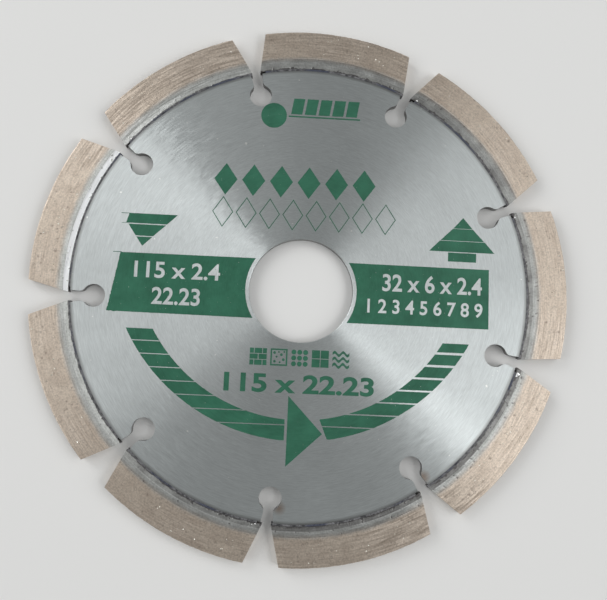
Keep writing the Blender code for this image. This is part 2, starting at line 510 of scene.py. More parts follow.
def loop_normals(loop):
    """Which way is out, at each point of a closed loop of (radius, height)."""
    normals = []
    for index, _ in enumerate(loop):
        before, after = loop[index - 1], loop[(index + 1) % len(loop)]
        along = Vector((after[0] - before[0], after[1] - before[1])).normalized()
        normals.append((-along.y, along.x))
    return normals


def tube_faces(count, rings):
    """Faces between rings of points, and a cap on each end made of four-sided faces."""
    faces = [(a * count + b, a * count + (b + 1) % count,
              (a + 1) * count + (b + 1) % count, (a + 1) * count + b)
             for a in range(rings - 1) for b in range(count)]
    last = (rings - 1) * count
    for b in range(count // 2 - 1):
        cap = (b, count - 1 - b, count - 2 - b, b + 1)
        faces.append(cap)
        faces.append(tuple(last + index for index in reversed(cap)))
    return faces


def segment_body(name, turn, shares, loop, skin, mark):
    """One piece of a segment. Shares run from -1 to 1 along it. Skin gives how far a point
    moves out, in mm, and the value of a named mark there."""
    normals = loop_normals(loop)
    points, values = [], []
    for share in shares:
        for (radius, height), (outward, upward) in zip(loop, normals):
            across = share * segment_half(radius)
            ray = ray_at(math.atan2(across, math.sqrt(radius ** 2 - across ** 2)) + turn)
            place = ray * radius + Vector((0, 0, height))
            push, value = skin(place, share)
            points.append(place + (ray * outward + Vector((0, 0, upward))) * push * MM)
            values.append(value)
    mesh = bpy.data.meshes.new(name)
    mesh.from_pydata(points, [], tube_faces(len(loop), len(shares)))
    mesh.validate()
    mesh.attributes.new(mark, "FLOAT", "POINT").data.foreach_set("value", values)
    return seen(name, mesh, sharp=38)


print("faces between two rings of four points, with both ends closed:", len(tube_faces(4, 2)))

# %% [markdown]
# ## The skin of a ground segment
# The sides of a segment are ground after welding. The wheel leaves long shallow scratches,
# and where it pulled a diamond out of the bond, a round pit stays behind. Both are small
# heights: about a hundredth of a millimetre for a scratch, up to a twentieth for a pit.

# %% Scratches and pits as heights
def scratch(place, pitch, turns, seed):
    """Height from -1 to 1 of marks that run round the spindle: pitch is their width in mm."""
    radius = place.xy.length / MM
    around = place.xy.normalized() * turns
    return noise.noise(Vector((around.x, around.y, (radius + 0.8 * place.z / MM) / pitch + seed)))


def lumps(place, size, shift):
    """Height from -1 to 1 of soft lumps: size is their width in mm."""
    return noise.noise(place / (size * MM) + Vector(shift))


def pit(place, spacing, size, share, seed):
    """Depth from 0 to 1 of round pits. Share of the cells that hold a pit."""
    near, cells = noise.voronoi(place / (spacing * MM) + Vector((seed, 0, 0)))
    if noise.cell(cells[0] * 5.7 + Vector((0.3, 0.1, seed))) > 2 * share - 1:
        return 0.0
    size *= 0.6 + 0.35 * noise.cell(cells[0] * 3.3 + Vector((0.1, 0.2, seed)))
    return clamped(1.6 * (1 - near[0] / size))


print("a scratch on the rim:", round(scratch(ray_at(0) * RIM_RADIUS, 1.1, 9, 0), 3))

# %% Draw the diamond layers
PIT_SPACING, PIT_SIZE, PIT_DEPTH = 1.1, 0.36, 0.05
PITTED = (0.26, 0.12, 0.08, 0.12, 0.42, 0.30, 0.20, 0.12, 0.22)
LAYER_STEP = 0.2
LAYER_LOW, RIM, TOP = in_mm(LAYER_RADIUS), in_mm(RIM_RADIUS), in_mm(SEGMENT_TOP)
WORN_RIM = RIM - 0.5


def bond_skin(number):
    seed = 13.7 * number

    def skin(place, share):
        rim = max(0.0, place.xy.length / MM - WORN_RIM) * 2
        deep = pit(place, PIT_SPACING, PIT_SIZE, PITTED[number - 1], seed)
        push = 0.014 * scratch(place, 1.1, 9, seed) + 0.010 * scratch(place, 0.42, 12, seed + 9)
        push += 0.05 * rim * lumps(place, 0.8, (seed, 0, 0))
        return push - PIT_DEPTH * deep, 0.8 * deep
    return skin


layer_upper = [(LAYER_LOW, 0.02), (LAYER_LOW, 0.6), (LAYER_LOW, TOP)]
layer_upper += [(LAYER_LOW + LAYER_STEP * index, TOP) for index in range(1, 30)]
layer_upper += [(RIM - 0.18, TOP - 0.005), (RIM - 0.08, TOP - 0.05), (RIM - 0.02, TOP - 0.14)]
layer_upper += [(RIM, height) for height in (0.9, 0.62, 0.34, 0.08)]
LAYERS = [segment_body(f"diamond_layer_{number}", turn, steps(150), closed_loop(layer_upper),
                       bond_skin(number), "pit") for number, turn in enumerate(TURNS, 1)]
print("faces in one diamond layer:", len(LAYERS[0].data.polygons))

# %% [markdown]
# ## The foot under the diamonds
# Under each diamond layer lies a foot without diamonds, because a laser can weld plain
# metal to steel but not grit. Its side is dressed to a slope down to the core. Heat has
# burnt the slope brown on most feet, more on some than on others, and charred it black in a
# thin line along the weld. Small dark cavities are eaten into it, most of them where the
# laser started. The slope of one foot came out clean and smooth, and there a bright
# highlight is painted into its colour. All of this is one mark from 0 to 1 on the mesh, and
# the polished slope with its painted highlight is a mark below 0.

# %% Say how burnt each foot is
BURNT = (0.66, 0.66, 0.55, 0.26, 0.0, 0.28, 0.66, 0.88, 0.82)
FLAT_BURNT = (0.66, 0.92, 0.92, 1.0, 1.0, 1.0, 0.66, 0.55, 0.38)
POLISH_AND_HIGHLIGHT_MARK = -0.5
WELD_EDGE, SLOPE_END, FLAT_START = 49.19, 50.1, 50.3
POLISH_AND_HIGHLIGHT_START, POLISH_AND_HIGHLIGHT_END = 49.25, 50.25
EATEN_END, EATEN_FADE, EATEN_DEPTH = 49.75, 0.6, 0.07
SIDE_WALL = 0.4 * MM


def eaten_share(place, share, radius, burnt, seed):
    """How deep a cavity is, from 0 to 1. They crowd at the weld, where the laser started."""
    close = clamped((EATEN_END - radius) / EATEN_FADE) if abs(place.z) > SIDE_WALL else 0.0
    start = 1.0 if share > 0.6 else 0.55 + 0.3 * max(0.0, share)
    crowd = (0.1 + 0.75 * burnt) * close * start - 0.52 + 0.24 * burnt
    return clamped(3.5 * (lumps(place, 0.6, (seed, 0, 0)) + crowd))


def stain_share(place, radius, number, seed):
    """How brown the skin is: the slope by BURNT, the flat above it by FLAT_BURNT. The slope of a clean foot
    gets a mark below 0 instead, for polish and a painted highlight.
    """
    burnt = BURNT[number - 1]
    on_side = abs(place.z) > SIDE_WALL
    # Painted highlight: the slope of a clean foot is marked to be painted almost white, and smoother.
    if burnt == 0 and POLISH_AND_HIGHLIGHT_START < radius < POLISH_AND_HIGHLIGHT_END and on_side:
        return POLISH_AND_HIGHLIGHT_MARK
    cloud = 0.85 + 0.3 * lumps(place, 2.2, (0, seed, 0))
    grey_band = 0.2 - 0.1 * burnt if radius > FLAT_START else 0.0
    slope = 1.2 if on_side and radius <= SLOPE_END else FLAT_BURNT[number - 1]
    return clamped(burnt * slope * cloud + grey_band, high=0.85)


def char_share(place, radius, burnt, seed):
    """The black line along the weld, whose edge wanders slowly and quickly."""
    width = 0.04 + 0.12 * min(1.0, 2 * burnt)
    slow = lumps(place, 1.5, (0, 0, seed))
    quick = lumps(place, 0.4, (seed, 0, 0))
    edge = WELD_EDGE + width * (1 + 1.8 * slow + 0.7 * quick)
    return clamped((edge - radius) / 0.06)


print("feet from clean to burnt:", sorted(range(1, SEGMENT_COUNT + 1), key=lambda n: BURNT[n - 1]))

# %% Draw the feet
def foot_skin(number):
    seed = 31.1 * number
    burnt = BURNT[number - 1]

    def skin(place, share):
        radius = place.xy.length / MM
        eaten = eaten_share(place, share, radius, burnt, seed)
        stain = stain_share(place, radius, number, seed)
        burn = max(eaten, char_share(place, radius, burnt, seed))
        push = 0.005 * scratch(place, 0.5, 14, seed) + 0.010 * lumps(place, 2.5, (0, 0, 0))
        return push - EATEN_DEPTH * eaten, burn if burn > max(0.05, stain) else stain
    return skin


foot_upper = [(49.10, 0.02), (49.10, 0.5), (49.11, 0.82), (49.16, 0.865), (49.26, 0.895),
              (49.36, 0.925), (49.46, 0.955), (49.57, 0.988), (49.68, 1.02), (49.8, 1.056),
              (49.92, 1.092), (50.05, 1.13), (50.18, 1.163), (50.32, 1.188), (50.5, 1.198),
              (50.8, TOP), (51.39, TOP), (51.39, 0.6), (51.39, 0.02)]
FEET = [segment_body(f"foot_{number}", turn, steps(210), closed_loop(foot_upper),
                     foot_skin(number), "oxide") for number, turn in enumerate(TURNS, 1)]
print("faces in one foot:", len(FEET[0].data.polygons))

# %% [markdown]
# ## The laser weld
# The weld is a narrow bead of metal that melted and froze as the beam passed, so it has
# ripples like a row of tiny scales. It stops short at one end of the segment, which leaves
# a small notch there. The bead is drawn like the layers, with the ripples as its skin.

# %% Draw the weld beads
BEAD_MIDDLE, BEAD_HALF = 48.92, 0.2
RIPPLE_PITCH, RIPPLE_HEIGHT, LUMP_HEIGHT = 0.30, 0.018, 0.035


def weld_span(solid, turn):
    """Where a bead starts and ends, as shares of the segment's half width."""
    across = Matrix.Rotation(-turn, 3, "Z")
    sides = [(across @ point).y for point in points_of(solid)]
    return min(sides) / FOOT_HALF, max(sides) / FOOT_HALF


def weld_skin(seed):
    def skin(place, share):
        bow = ((place.xy.length / MM - BEAD_MIDDLE) / BEAD_HALF) ** 2
        run = share * FOOT_HALF / MM / RIPPLE_PITCH + 0.35 * bow
        ripple = math.cos(2 * math.pi * (run + 0.25 * lumps(place, 0.9, (0, 0, 0))))
        uneven = lumps(place, 0.45, (seed, 0, 0))
        return RIPPLE_HEIGHT * ripple + LUMP_HEIGHT * uneven, 0.5 + 0.5 * ripple
    return skin


weld_upper = [(48.70, 0.02), (48.70, 0.6), (48.71, 0.84), (48.76, 0.885), (48.83, 0.90),
              (48.92, 0.91), (49.01, 0.915), (49.09, 0.93), (49.16, 0.90), (49.17, 0.6), (49.17, 0.02)]
WELDS = []
for number, turn in enumerate(TURNS, 1):
    low, high = weld_span(f"weld_seam_{number}", turn)
    WELDS.append(segment_body(f"weld_bead_{number}", turn, steps(300, low, high),
                              closed_loop(weld_upper), weld_skin(7.9 * number), "ripple"))
print("the last bead runs from", round(low, 3), "to", round(high, 3), "of the half width")

# %% [markdown]
# ## Sintered bond and foot metal
# The bond is a bronze and cobalt powder pressed hot, so it is a warm beige, mottled like
# any pressed powder and streaked where the wheel ground it. The foot below it is the same
# metal without grit and looks greyer. The change between them is a soft, wavy line, since
# it was a border between two powders. One function writes both, so the colours meet.

# %% Colours of sintered metal
GREY_END, BOND_START = 51.05 * MM, 52.25 * MM
MOTTLED_DARK, MOTTLED_LIGHT = (0.55, 0.465, 0.385, 1), (0.66, 0.57, 0.475, 1)
STREAK_DARK, STREAK_LIGHT = (0.46, 0.38, 0.31, 1), (0.74, 0.645, 0.55, 1)
# The dark below is painted shade, for the rims of small pits.
PAINTED_PIT_RIM_SHADE = (0.10, 0.085, 0.08, 1)
# The near white below is a painted highlight, for the polished slope of one foot.
PAINTED_HIGHLIGHT = (0.96, 0.975, 0.985, 1)


def warm_bond(metal, coarse):
    """Beige that is mottled in some patches and streaked in others."""
    patches = metal.noise(metal.place, scale=55, detail=3)
    cloud = metal.noise(metal.place, scale=420, detail=3)
    mottled = metal.mix(metal.spread(cloud, 0.35, 0.65), MOTTLED_DARK, MOTTLED_LIGHT)
    streaked = metal.mix(metal.spread(coarse, 0.35, 0.62), STREAK_DARK, STREAK_LIGHT)
    return metal.mix(metal.spread(patches, 0.42, 0.62, 0.25, 0.95), mottled, streaked)


def bond_share(metal):
    """Share of bond, from 0 in the foot to 1 in the layer, with a wavy border."""
    _, radius = metal.from_axis()
    waves = metal.noise(metal.place, scale=700, detail=3)
    wavy = metal.math("ADD", radius, metal.math("MULTIPLY", waves, 0.7 * MM))
    return metal.spread(wavy, GREY_END, BOND_START)


def painted_pit_rim_shade(metal):
    """Painted shade: thin dark rings in one cell of five, as the shaded rims of small pits."""
    cells = metal.add("ShaderNodeTexVoronoi", {"Vector": metal.place, "Scale": 1150.0})
    ring = metal.math("SUBTRACT", metal.spread(cells.outputs["Distance"], 0.18, 0.30),
                      metal.spread(cells.outputs["Distance"], 0.30, 0.42))
    draw = metal.add("ShaderNodeSeparateColor", {"Color": cells.outputs["Color"]}).outputs[0]
    return metal.math("MULTIPLY", ring, metal.spread(draw, 0.80, 0.82))


print("the bond starts at, mm:", in_mm(GREY_END), "to", in_mm(BOND_START))

# %% Make the metal of a layer or a foot
def segment_metal(name, roughness, mark, mark_colour, grey_dark, grey_light):
    metal = Finish(name, metallic=0.9, roughness=roughness, anisotropic=0.75)
    coarse = metal.noise(metal.lathe_grain(9, 0.34 * MM), detail=4, roughness=0.6)
    fine = metal.noise(metal.lathe_grain(20, 0.16 * MM, 5.0), detail=3)
    speck = metal.noise(metal.place, scale=2600, detail=2)
    metal.marks_round_spindle(math.radians(15), coarse)
    marked = metal.attribute(mark)
    polish_and_highlight = metal.spread(marked, 0.0, POLISH_AND_HIGHLIGHT_MARK)
    bond = bond_share(metal)
    grey = metal.mix(metal.spread(coarse, 0.35, 0.65), grey_dark, grey_light)
    tone = metal.math("MULTIPLY", metal.spread(fine, 0.3, 0.7, 0.91, 1.07),
                      metal.spread(speck, 0.3, 0.6, 0.8, 1.05))
    colour = metal.scaled(metal.mix(bond, grey, warm_bond(metal, coarse)), tone)
    # Painted shade: dark rims of small pits, in the bond only.
    ring = metal.math("MULTIPLY", painted_pit_rim_shade(metal), metal.math("MULTIPLY", bond, 0.3))
    colour = metal.mix(ring, colour, PAINTED_PIT_RIM_SHADE)
    # Painted highlight: where the mark is below 0, the colour goes almost to white on the polished slope.
    colour = metal.mix(polish_and_highlight, colour, PAINTED_HIGHLIGHT)
    colour = metal.mix(metal.math("MULTIPLY", marked, 0.85), colour, mark_colour)
    rough = metal.spread(coarse, 0.3, 0.7, roughness - 0.06, roughness + 0.05)
    rough = metal.math("ADD", rough, metal.spread(marked, 0.0, 1.0, 0.0, 0.25))
    normal = metal.bump(fine, metal.spread(polish_and_highlight, 0, 1, 0.35, 0.08), 0.02 * MM)
    normal = metal.bump(coarse, 0.3, 0.03 * MM, below=normal)
    normal = metal.bump(speck, metal.spread(polish_and_highlight, 0, 1, 0.25, 0.02), 0.02 * MM, below=normal)
    return metal.wear(colour=colour, roughness=rough, normal=normal)


# In the layers the mark is a pit's depth, and its dark colour is painted shade in the pits.
diamond_bond = segment_metal("diamond_bond", 0.45, "pit", (0.25, 0.21, 0.18, 1),
                             (0.44, 0.45, 0.44, 1), (0.58, 0.59, 0.58, 1))
foot_metal = segment_metal("foot_metal", 0.32, "oxide", (0.042, 0.032, 0.035, 1),
                           (0.68, 0.70, 0.665, 1), (0.88, 0.90, 0.875, 1))
print("sintered metals:", diamond_bond.name, "and", foot_metal.name)

# %% [markdown]
# ## Weld metal
# A weld is steel that froze in air, so it has a dark skin of oxide with a blue tint in
# places. The tops of the ripples are rubbed paler, and the mesh says where they are.

# %% Make the weld metal and dress the segments
SCALE_DARK, SCALE_LIGHT = (0.045, 0.045, 0.05, 1), (0.20, 0.20, 0.21, 1)
BLUED, RUBBED = (0.05, 0.06, 0.10, 1), (0.3, 0.3, 0.3, 1)


def weld_metal():
    bead = Finish("weld_metal", metallic=0.9, roughness=0.4)
    scale = bead.noise(bead.place, scale=1500, detail=3)
    burnt = bead.noise(bead.place, scale=160, detail=2)
    dark = bead.mix(bead.spread(scale, 0.35, 0.65), SCALE_DARK, SCALE_LIGHT)
    blue = bead.mix(bead.spread(burnt, 0.5, 0.62), dark, BLUED)
    colour = bead.mix(bead.math("MULTIPLY", bead.attribute("ripple"), 0.35), blue, RUBBED)
    return bead.wear(colour=colour, normal=bead.bump(scale, 0.5, 0.03 * MM),
                     roughness=bead.spread(scale, 0.3, 0.7, 0.3, 0.6))


for pieces, finish, solids, slot in ((LAYERS, diamond_bond, "diamond_segment", "diamond_bond"),
                                     (FEET, foot_metal, "segment_foot", "foot_metal"),
                                     (WELDS, weld_metal(), "weld_seam", "weld_metal")):
    for number, piece in enumerate(pieces, 1):
        piece.data.materials.append(finish)
        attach(piece, "root")
        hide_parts(f"{solids}_{number}")
    print(len(pieces), "pieces of", finish.name, "stand in for the solids", solids)

# %% [markdown]
# ## Diamond grit
# The cutting is done by diamonds of 0.2 to 0.4 mm. Grown ones are octahedra with their
# corners cut off. They sit deep in the bond, and only the tops stand out of the rim and of
# the sides. One crystal is made from its 24 corners and then copied, turned and sunk.

# %% Cut one crystal
GRIT_SIZE = 0.40 * MM

corners = {(x * a, y * b, z * c)
           for x, y, z in ((0, 1, 2), (0, 2, 1), (1, 0, 2), (1, 2, 0), (2, 0, 1), (2, 1, 0))
           for a in (-1, 1) for b in (-1, 1) for c in (-1, 1)}
shape = bmesh.new()
for corner in sorted(corners):
    shape.verts.new(Vector(corner) * GRIT_SIZE / 4)
bmesh.ops.convex_hull(shape, input=shape.verts)
bmesh.ops.dissolve_limit(shape, angle_limit=0.01, verts=shape.verts, edges=shape.edges)
shape.verts.index_update()
CRYSTAL_POINTS = [vertex.co.copy() for vertex in shape.verts]
CRYSTAL_FACES = [[vertex.index for vertex in face.verts] for face in shape.faces]
shape.free()
print("corners and faces of one crystal:", len(CRYSTAL_POINTS), len(CRYSTAL_FACES))

# %% Choose where a crystal sits
GRIT_PER_SEGMENT, GRIT_SEED = 90, 11
SHARE_ON_RIM = 0.45
SMALLEST_GRAIN, LARGEST_GRAIN = 0.45, 1.05

chance = random.Random(GRIT_SEED)


def grit_place(turn):
    """A spot sunk a little into the rim or into one side of a segment."""
    ray = ray_at(turn + chance.uniform(-0.97, 0.97) * RIM_HALF / RIM_RADIUS)
    if chance.random() < SHARE_ON_RIM:
        height = chance.uniform(-0.95, 0.95) * MM
        return ray * (RIM_RADIUS - chance.uniform(0.05, 0.12) * MM) + Vector((0, 0, height))
    radius = chance.uniform(51.9, 57.1) * MM
    side = chance.choice((-1, 1))
    return ray * radius + Vector((0, 0, side * (SEGMENT_TOP - chance.uniform(0.11, 0.15) * MM)))


def tumbled():
    """A turn in a direction picked by chance."""
    return Vector([chance.uniform(-1, 1) for _ in range(3)]).to_track_quat("Z", "Y").to_matrix()


print("crystals to set:", GRIT_PER_SEGMENT * SEGMENT_COUNT)

# %% Set the crystals in the bond
# The crystals' tint runs from a dark, which is painted shade as in a pit, to a pale, which is a painted
# glint.
DARK_DIAMOND_PAINTED_SHADE, PALE_DIAMOND_PAINTED_GLINT = (0.26, 0.23, 0.17, 1), (0.84, 0.82, 0.72, 1)
BENDS_LIGHT = 2.2

grit_finish = Finish("diamond_grit", metallic=0.0, roughness=0.12)
grit_finish.shader.inputs["IOR"].default_value = BENDS_LIGHT
tints_and_painted_light = grit_finish.spread(grit_finish.noise(grit_finish.place, scale=1200, detail=1), 0.4, 0.6)
grit_finish.wear(colour=grit_finish.mix(tints_and_painted_light, DARK_DIAMOND_PAINTED_SHADE, PALE_DIAMOND_PAINTED_GLINT))
for number, turn in enumerate(TURNS, 1):
    points, faces = [], []
    for _ in range(GRIT_PER_SEGMENT):
        place = grit_place(turn)
        tumble = tumbled()
        scale = chance.uniform(SMALLEST_GRAIN, LARGEST_GRAIN)
        first = len(points)
        points += [place + tumble @ corner * scale for corner in CRYSTAL_POINTS]
        faces += [[first + index for index in face] for face in CRYSTAL_FACES]
    mesh = bpy.data.meshes.new(f"diamond_grit_{number}")
    mesh.from_pydata(points, [], faces)
    mesh.materials.append(grit_finish.material)
    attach(seen(f"diamond_grit_{number}", mesh), "root")
print("faces of grit on a segment:", len(mesh.polygons))

# %% [markdown]
# ## Spatter at the start of a weld
# Where the beam starts, it throws a few drops that freeze on the foot as bright lumps. A
# drop is a small ball, flattened where it landed and made uneven by noise. Each is listed
# one by one, since only some of the welds have them.

# %% Drop the spatter
SPATTER = {9: [(0.945, 49.62, 0.42), (0.91, 49.45, 0.24)], 4: [(0.90, 49.35, 0.20), (0.86, 49.5, 0.12)],
           2: [(0.93, 49.4, 0.20)], 7: [(0.94, 49.35, 0.17), (0.90, 49.6, 0.10)], 1: [(0.95, 49.4, 0.16)]}
DROP_LIFT, DROP_UNEVEN, DROP_FLATNESS = 0.09 * MM, 0.35, 0.62

shape = bmesh.new()
for number, drops in SPATTER.items():
    for share, radius, size in drops:
        spin = TURNS[number - 1] + share * segment_half(radius * MM) / (radius * MM)
        base = ray_at(spin) * radius * MM + Vector((0, 0, CORE_TOP + DROP_LIFT))
        drop = bmesh.ops.create_icosphere(shape, subdivisions=3, radius=size * MM,
                                          matrix=Matrix.Translation(base))
        for vertex in drop["verts"]:
            out = vertex.co - base
            out *= 1 + DROP_UNEVEN * lumps(out, 0.8 * size, (number, 0, 0))
            vertex.co = base + Vector((out.x, out.y, DROP_FLATNESS * out.z))
mesh = bpy.data.meshes.new("weld_spatter")
shape.to_mesh(mesh)
shape.free()
print("drops of spatter:", sum(len(drops) for drops in SPATTER.values()))

# %% Make the drops bright
bright = Finish("spatter_metal", metallic=1.0, roughness=0.3)
skin = bright.noise(bright.place, scale=2400, detail=2)
bright.wear(colour=bright.mix(skin, (0.75, 0.76, 0.76, 1), (0.95, 0.95, 0.94, 1)),
            roughness=bright.spread(skin, 0.3, 0.7, 0.22, 0.42))
mesh.materials.append(bright.material)
spatter = seen("weld_spatter", mesh, sharp=60)
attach(spatter, "root")
print("faces of spatter:", len(mesh.polygons))

# %% [markdown]
# ## Screen-printed ink
# The print is a film of green ink about a hundredth of a millimetre thick, pushed through
# a mesh screen. So it is made as real thin bodies with slightly ragged edges, and the
# bright steel shows between them. A colour pattern in the steel would have been shorter,
# but a film catches the light on its own and can be taken off or repainted.

# %% Turn outlines into films of ink
INK_THICKNESS = 0.012 * MM
INK_SINK = 0.004 * MM
FILM_LOW = CORE_TOP - INK_SINK
FILM_HIGH = CORE_TOP + INK_THICKNESS
MESH_GRAIN = 0.5
WORN_ROUGHNESS = 3.5
FINE_EDGE = 0.02


def ragged(outline, amount=0.035, step=0.28, worn=None):
    """The outline in short steps, each moved a little, as a mesh screen leaves an edge."""
    out = []
    for index, start in enumerate(outline):
        start, end = Vector(start), Vector(outline[(index + 1) % len(outline)])
        pieces = max(1, round((end - start).length / step))
        for part in range(pieces):
            spot = start.lerp(end, part / pieces)
            grain = Vector((spot.x / MESH_GRAIN, spot.y / MESH_GRAIN, 0))
            shake = Vector((noise.noise(grain), noise.noise(grain + Vector((0, 0, 9)))))
            rough = amount if worn is None or not worn(spot) else WORN_ROUGHNESS * amount
            out.append(spot + shake * rough)
    return out


def rims_of(faces):
    """The edges that belong to one face only, in the direction of that face."""
    pairs = [pair for face in faces for pair in zip(face, face[1:] + face[:1])]
    uses = Counter(frozenset(pair) for pair in pairs)
    return [pair for pair in pairs if uses[frozenset(pair)] == 1]


def film(name, outlines, holes=()):
    """One thin body from closed outlines in mm, without what lies inside the holes."""
    loops = [[Vector(spot[:2]) for spot in loop] for loop in [*outlines, *holes]]
    corners = [spot for loop in loops for spot in loop]
    firsts = [sum(len(loop) for loop in loops[:index]) for index in range(len(loops))]
    rings = [list(range(first, first + len(loop))) for first, loop in zip(firsts, loops)]
    flat, _, faces, _, _, inside = geometry.delaunay_2d_cdt(corners, [], rings, 1, 0.0001)
    kept = [face for face, owners in zip(faces, inside) if owners and max(owners) < len(outlines)]
    count = len(flat)
    points = [(spot.x * MM, spot.y * MM, z) for z in (FILM_HIGH, FILM_LOW) for spot in flat]
    solid = [tuple(face) for face in kept]
    solid += [tuple(count + index for index in reversed(face)) for face in kept]
    solid += [(q, p, count + p, count + q) for p, q in rims_of(kept)]
    mesh = bpy.data.meshes.new(name)
    mesh.from_pydata(points, [], solid)
    shape = bmesh.new()
    shape.from_mesh(mesh)
    bmesh.ops.delete(shape, geom=[v for v in shape.verts if not v.link_faces], context="VERTS")
    shape.to_mesh(mesh)
    shape.free()
    return seen(name, mesh)


print("the ink stands above the steel by, mm:", round(INK_THICKNESS / MM, 3))

# %% [markdown]
# ## Plain shapes and numbers
# Most of the print is boxes, circles and numbers. Numbers come from Blender's own typeface:
# a text is turned into a flat mesh and stretched to fill a box, and its triangles become
# the holes in a bar or a film of their own.

# %% Write boxes, circles and plain numbers
def box(left, right, low, high):
    return [(left, low), (right, low), (right, high), (left, high)]


def circle(x, y, radius, count, start=0.0):
    turns = [start + 2 * math.pi * index / count for index in range(count)]
    return [(x + radius * math.cos(turn), y + radius * math.sin(turn)) for turn in turns]


def numbers(text, left, right, low, high, bold=0.02):
    """A text made of numbers, stretched to fill a box, as flat triangles in mm."""
    font = bpy.data.curves.new("numbers", "FONT")
    font.body = text
    font.offset = bold
    letters = bpy.data.objects.new("numbers", font)
    mesh = bpy.data.meshes.new_from_object(letters)
    bpy.data.objects.remove(letters)
    xs = [vertex.co.x for vertex in mesh.vertices]
    ys = [vertex.co.y for vertex in mesh.vertices]
    wide, tall = (right - left) / (max(xs) - min(xs)), (high - low) / (max(ys) - min(ys))
    spots = [Vector((left + wide * (x - min(xs)), low + tall * (y - min(ys)))) for x, y in zip(xs, ys)]
    solid = [polygon for polygon in mesh.polygons if polygon.area > 0.00001]
    return [[spots[index] for index in polygon.vertices] for polygon in solid]


print("triangles in one number:", len(numbers("2.4", 0, 1, 0, 1)))

# %% [markdown]
# ## The two bars beside the bore
# A solid bar runs from the bore to each side, with numbers left free in it: the size of
# the blade and of its segments. The left bar ends in a worn, slanting edge, where the
# squeegee ran out of ink and left one thin line.

# %% Print the bars
BARE_RING = 11.9
WORN_BEFORE = -38.5


def ring_edge(low, high, side, count=24):
    """Points on the bare ring round the bore, from one height to the other."""
    return [(side * math.sqrt(BARE_RING ** 2 - y ** 2), y) for y in steps(count, low, high)]


left_bar = [(-38.7, 6.42), (-40.9, -6.2)] + ring_edge(-6.35, 6.5, -1)
left_bar = film("print_bar_left", [ragged(left_bar, worn=lambda spot: spot.x < WORN_BEFORE),
                                   ragged(box(-40.3, WORN_BEFORE, 6.38, 6.52), FINE_EDGE)],
                numbers("115 x 2.4", -35.6, -17.4, 1.2, 4.75)
                + numbers("22.23", -31.6, -21.4, -4.4, -0.7))
right_bar = [(40.55, -6.5), (40.45, 6.4)] + ring_edge(6.45, -6.5, 1)
right_bar = film("print_bar_right", [ragged(right_bar)],
                 numbers("32 x 6 x 2.4", 17.4, 39.0, 0.7, 4.5)
                 + numbers("1 2 3 4 5 6 7 8 9", 14.3, 39.2, -4.1, -1.0))
print("faces in the bars:", len(left_bar.data.polygons), len(right_bar.data.polygons))

# %% [markdown]
# ## Arrows
# Two triangles show which way each side of the blade moves, and a long arrow bends round
# below the bore. All are cut by fine straight lines. The curved arrow is drawn strip by
# strip: each strip lies between two level lines and between an outer and an inner circle.

# %% Print the straight arrows
arrow_down = [
    [(-38.0, 12.8), (-29.3, 12.8), (-27.1, 14.95), (-37.4, 14.95)],
    [(-35.8, 10.12), (-32.1, 10.12), (-29.5, 12.6), (-37.5, 12.6)],
    [(-34.3, 7.94), (-32.25, 9.92), (-35.65, 9.92)],
    box(-39.1, -37.3, 14.82, 14.96), box(-38.9, -37.9, 12.74, 12.82)]
arrow_up = [
    [(27.3, 10.0), (41.6, 10.0), (39.45, 12.36), (29.6, 12.36)],
    [(29.75, 12.45), (39.3, 12.45), (36.8, 15.08), (32.4, 15.08)],
    [(32.5, 15.16), (36.7, 15.16), (34.6, 17.56)],
    box(31.45, 37.6, 7.85, 9.82)]
film("print_arrow_down", [ragged(outline) for outline in arrow_down])
film("print_arrow_up", [ragged(outline) for outline in arrow_up])
print("pieces in the straight arrows:", len(arrow_down), len(arrow_up))

# %% Print the curved arrow
OUTER_CENTRE, OUTER_RADIUS = 9.4, 41.2
INNER_CENTRE, INNER_RADIUS = 8.3, 35.7
CUT_START, CUT_PITCH, CUT_COUNT = -12.1, -2.73, 7
STRIP_STEPS = 25


def circle_x(centre, radius, y):
    return math.sqrt(max(0.0, radius ** 2 - (y - centre) ** 2))


def strips(top, side, widths, end):
    """The strips of one half of the curved arrow. Widths are those of the fine lines that
    cut it, and end gives its inner limit at a height."""
    levels = [top]
    for index, width in enumerate(widths):
        line = CUT_START + CUT_PITCH * index
        levels += [line + width / 2, line - width / 2]
    levels.append(OUTER_CENTRE - OUTER_RADIUS)
    outlines = []
    for high, low in zip(levels[::2], levels[1::2]):
        outer, inner = [], []
        for y in steps(STRIP_STEPS, high, low):
            out_x = circle_x(OUTER_CENTRE, OUTER_RADIUS, y)
            in_x = max(circle_x(INNER_CENTRE, INNER_RADIUS, y), end(y))
            if out_x > in_x:
                outer.append((side * out_x, y))
                inner.append((side * in_x, y))
        outlines.append(outer + inner[::-1])
    return outlines


left_strips = strips(-9.6, -1, [0.17] * CUT_COUNT, lambda y: 2.25)
right_strips = strips(-9.9, 1, [0.5, 0.48, 0.42, 0.34, 0.28, 0.25, 0.2],
                      lambda y: 5.1 + (y + 27.25) * (1.4 / -3.35))
arrow_head = [(-1.7, -22.4), (-1.7, -37.06), (5.7, -30.06)]
film("print_turn_arrow", [ragged(outline) for outline in left_strips + right_strips])
film("print_turn_head", [ragged(arrow_head)])
print("strips in the curved arrow:", len(left_strips) + len(right_strips))

# %% [markdown]
# ## Plain marks for what the blade cuts
# Above the bore are two rows of lozenges, solid ones and thin outlined ones, and near the
# rim a disc with a beam and slanting blocks. Below the bore, five small signs stand for
# brick, concrete, paving, tile and roof tile, over the size in green numbers.

# %% Print the lozenges
ROW_Y, THIN_ROW_Y = 23.5, 16.3
THIN_COLUMNS = [-17.6 + 5.03 * index for index in range(8)]
THIN_INSIDE = 0.905


def lozenge(x, y, width, height):
    return [(x - width / 2, y), (x, y - height / 2), (x + width / 2, y), (x, y + height / 2)]


